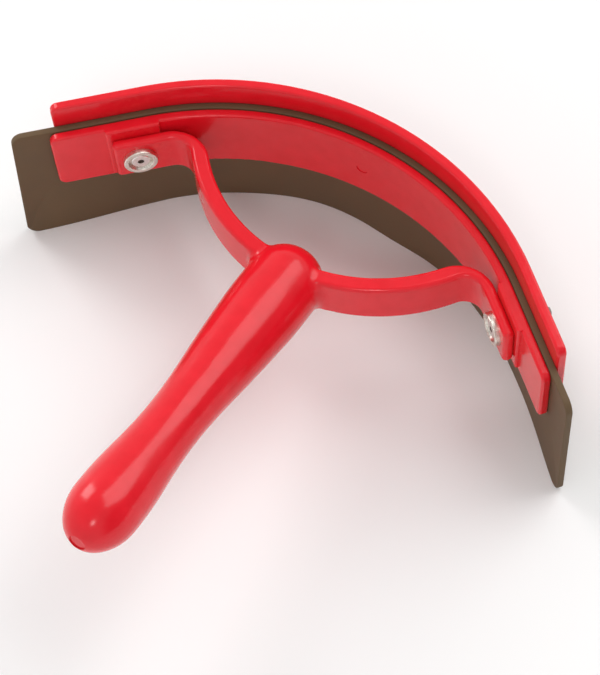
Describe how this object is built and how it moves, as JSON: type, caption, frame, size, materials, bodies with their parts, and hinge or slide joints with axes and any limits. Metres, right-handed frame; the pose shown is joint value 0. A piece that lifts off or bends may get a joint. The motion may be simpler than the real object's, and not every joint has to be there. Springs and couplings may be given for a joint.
{
  "type": "sweat scraper",
  "caption": "Hand sweat scraper: a curved rubber blade clamped between bent plastic rails, with a bulb-ended handle riveted on through a curved yoke.",
  "frame": {"origin": "middle of the blade's working edge, at the apex of its bend, on the surface that the tool stands on", "axes": "+X along the chord of the bend, +Y away from the handle, +Z from the working edge towards the rails"},
  "size_m": [0.2634, 0.222, 0.0909],
  "materials": {
    "red_plastic": "glossy injection-moulded red plastic",
    "blade_rubber": "matte olive-brown rubber",
    "rivet_metal": "bright, lightly domed",
    "mandrel_metal": "broken steel stem, dull",
    "washer_metal": "plated, satin"
  },
  "bodies": {
    "root": {"yoke_handle": "red_plastic", "inner_rail": "red_plastic", "outer_rail": "red_plastic", "rubber_blade": "blade_rubber", "left_rivet_body": "rivet_metal", "left_rivet_mandrel": "mandrel_metal", "left_front_washer": "washer_metal", "left_backing_washer": "washer_metal", "right_rivet_body": "rivet_metal", "right_rivet_mandrel": "mandrel_metal", "right_front_washer": "washer_metal", "right_backing_washer": "washer_metal"}
  },
  "joints": []
}
